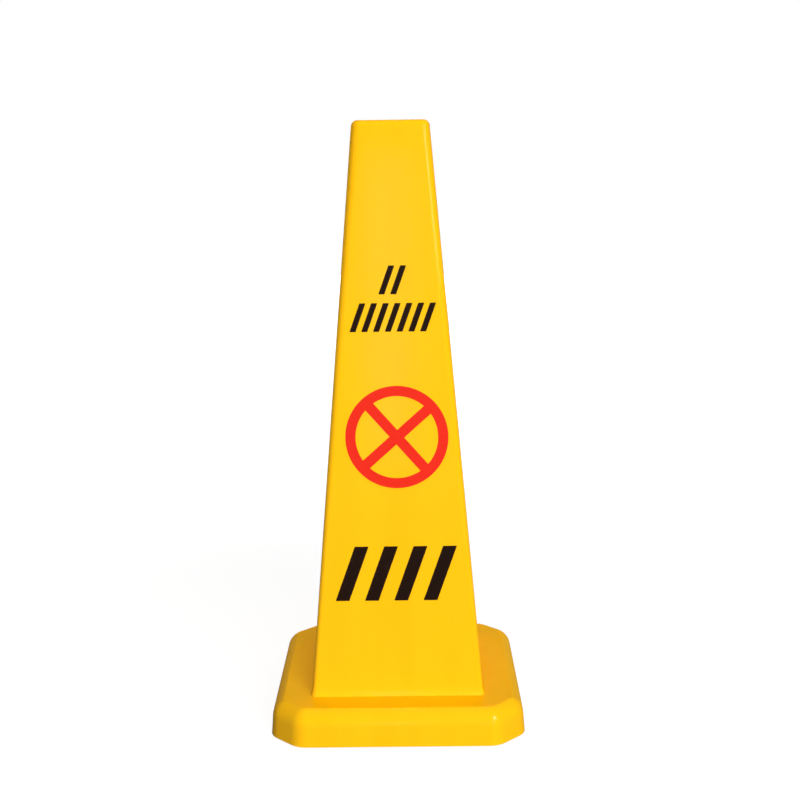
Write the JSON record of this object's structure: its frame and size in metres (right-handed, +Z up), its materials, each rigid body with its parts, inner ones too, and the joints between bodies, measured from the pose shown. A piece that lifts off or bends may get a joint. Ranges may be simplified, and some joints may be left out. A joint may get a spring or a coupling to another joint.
{
  "type": "no parking sign",
  "caption": "Free-standing four-sided yellow safety cone with a red ring-and-cross symbol on each face, snapped into a sand-weighted square base with a screw fill cap.",
  "frame": {"origin": "middle of the square footprint, on the floor that the foot strips stand on", "axes": "+Z up the cone, +X to the right of the front face, +Y from the front face to the back"},
  "size_m": [0.278, 0.278, 0.66],
  "materials": {
    "yellow_plastic": "glossy moulded",
    "black_plastic": "fine moulded grain",
    "cap_plastic": "satin moulded",
    "rubber": "matt",
    "sand": "dry grains",
    "screw_steel": "zinc plated",
    "red_film": "printed film",
    "black_film": "printed film"
  },
  "bodies": {
    "sign": {"back_foot_strip": "rubber", "back_lower_stripes": "black_film", "back_symbol_decal": "red_film", "back_upper_stripes": "black_film", "base_shell": "yellow_plastic", "base_tray": "black_plastic", "cone_body": "yellow_plastic", "front_foot_strip": "rubber", "front_lower_stripes": "black_film", "front_symbol_decal": "red_film", "front_upper_stripes": "black_film", "left_foot_strip": "rubber", "left_lower_stripes": "black_film", "left_symbol_decal": "red_film", "left_upper_stripes": "black_film", "right_foot_strip": "rubber", "right_lower_stripes": "black_film", "right_symbol_decal": "red_film", "right_upper_stripes": "black_film", "sand_ballast": "sand", "tray_screws": "screw_steel", "tray_seal": "rubber"},
    "washer": {"cap_washer": "rubber"},
    "cap": {"fill_cap": "cap_plastic"}
  },
  "joints": [
    {"name": "cap_lift", "type": "slide", "parent": "sign", "child": "washer", "axis": [0, 0, 1], "range_m": [0, 0.015]},
    {"name": "cap_turn", "type": "hinge", "parent": "washer", "child": "cap", "pos_m": [0, 0.11138, 0.0415], "axis": [0, 0, 1], "range_deg": [0, 1800]}
  ],
  "couplings": [
    {"joint": "cap_lift", "follows": "cap_turn", "m_per_rad": 0.00047746}
  ]
}
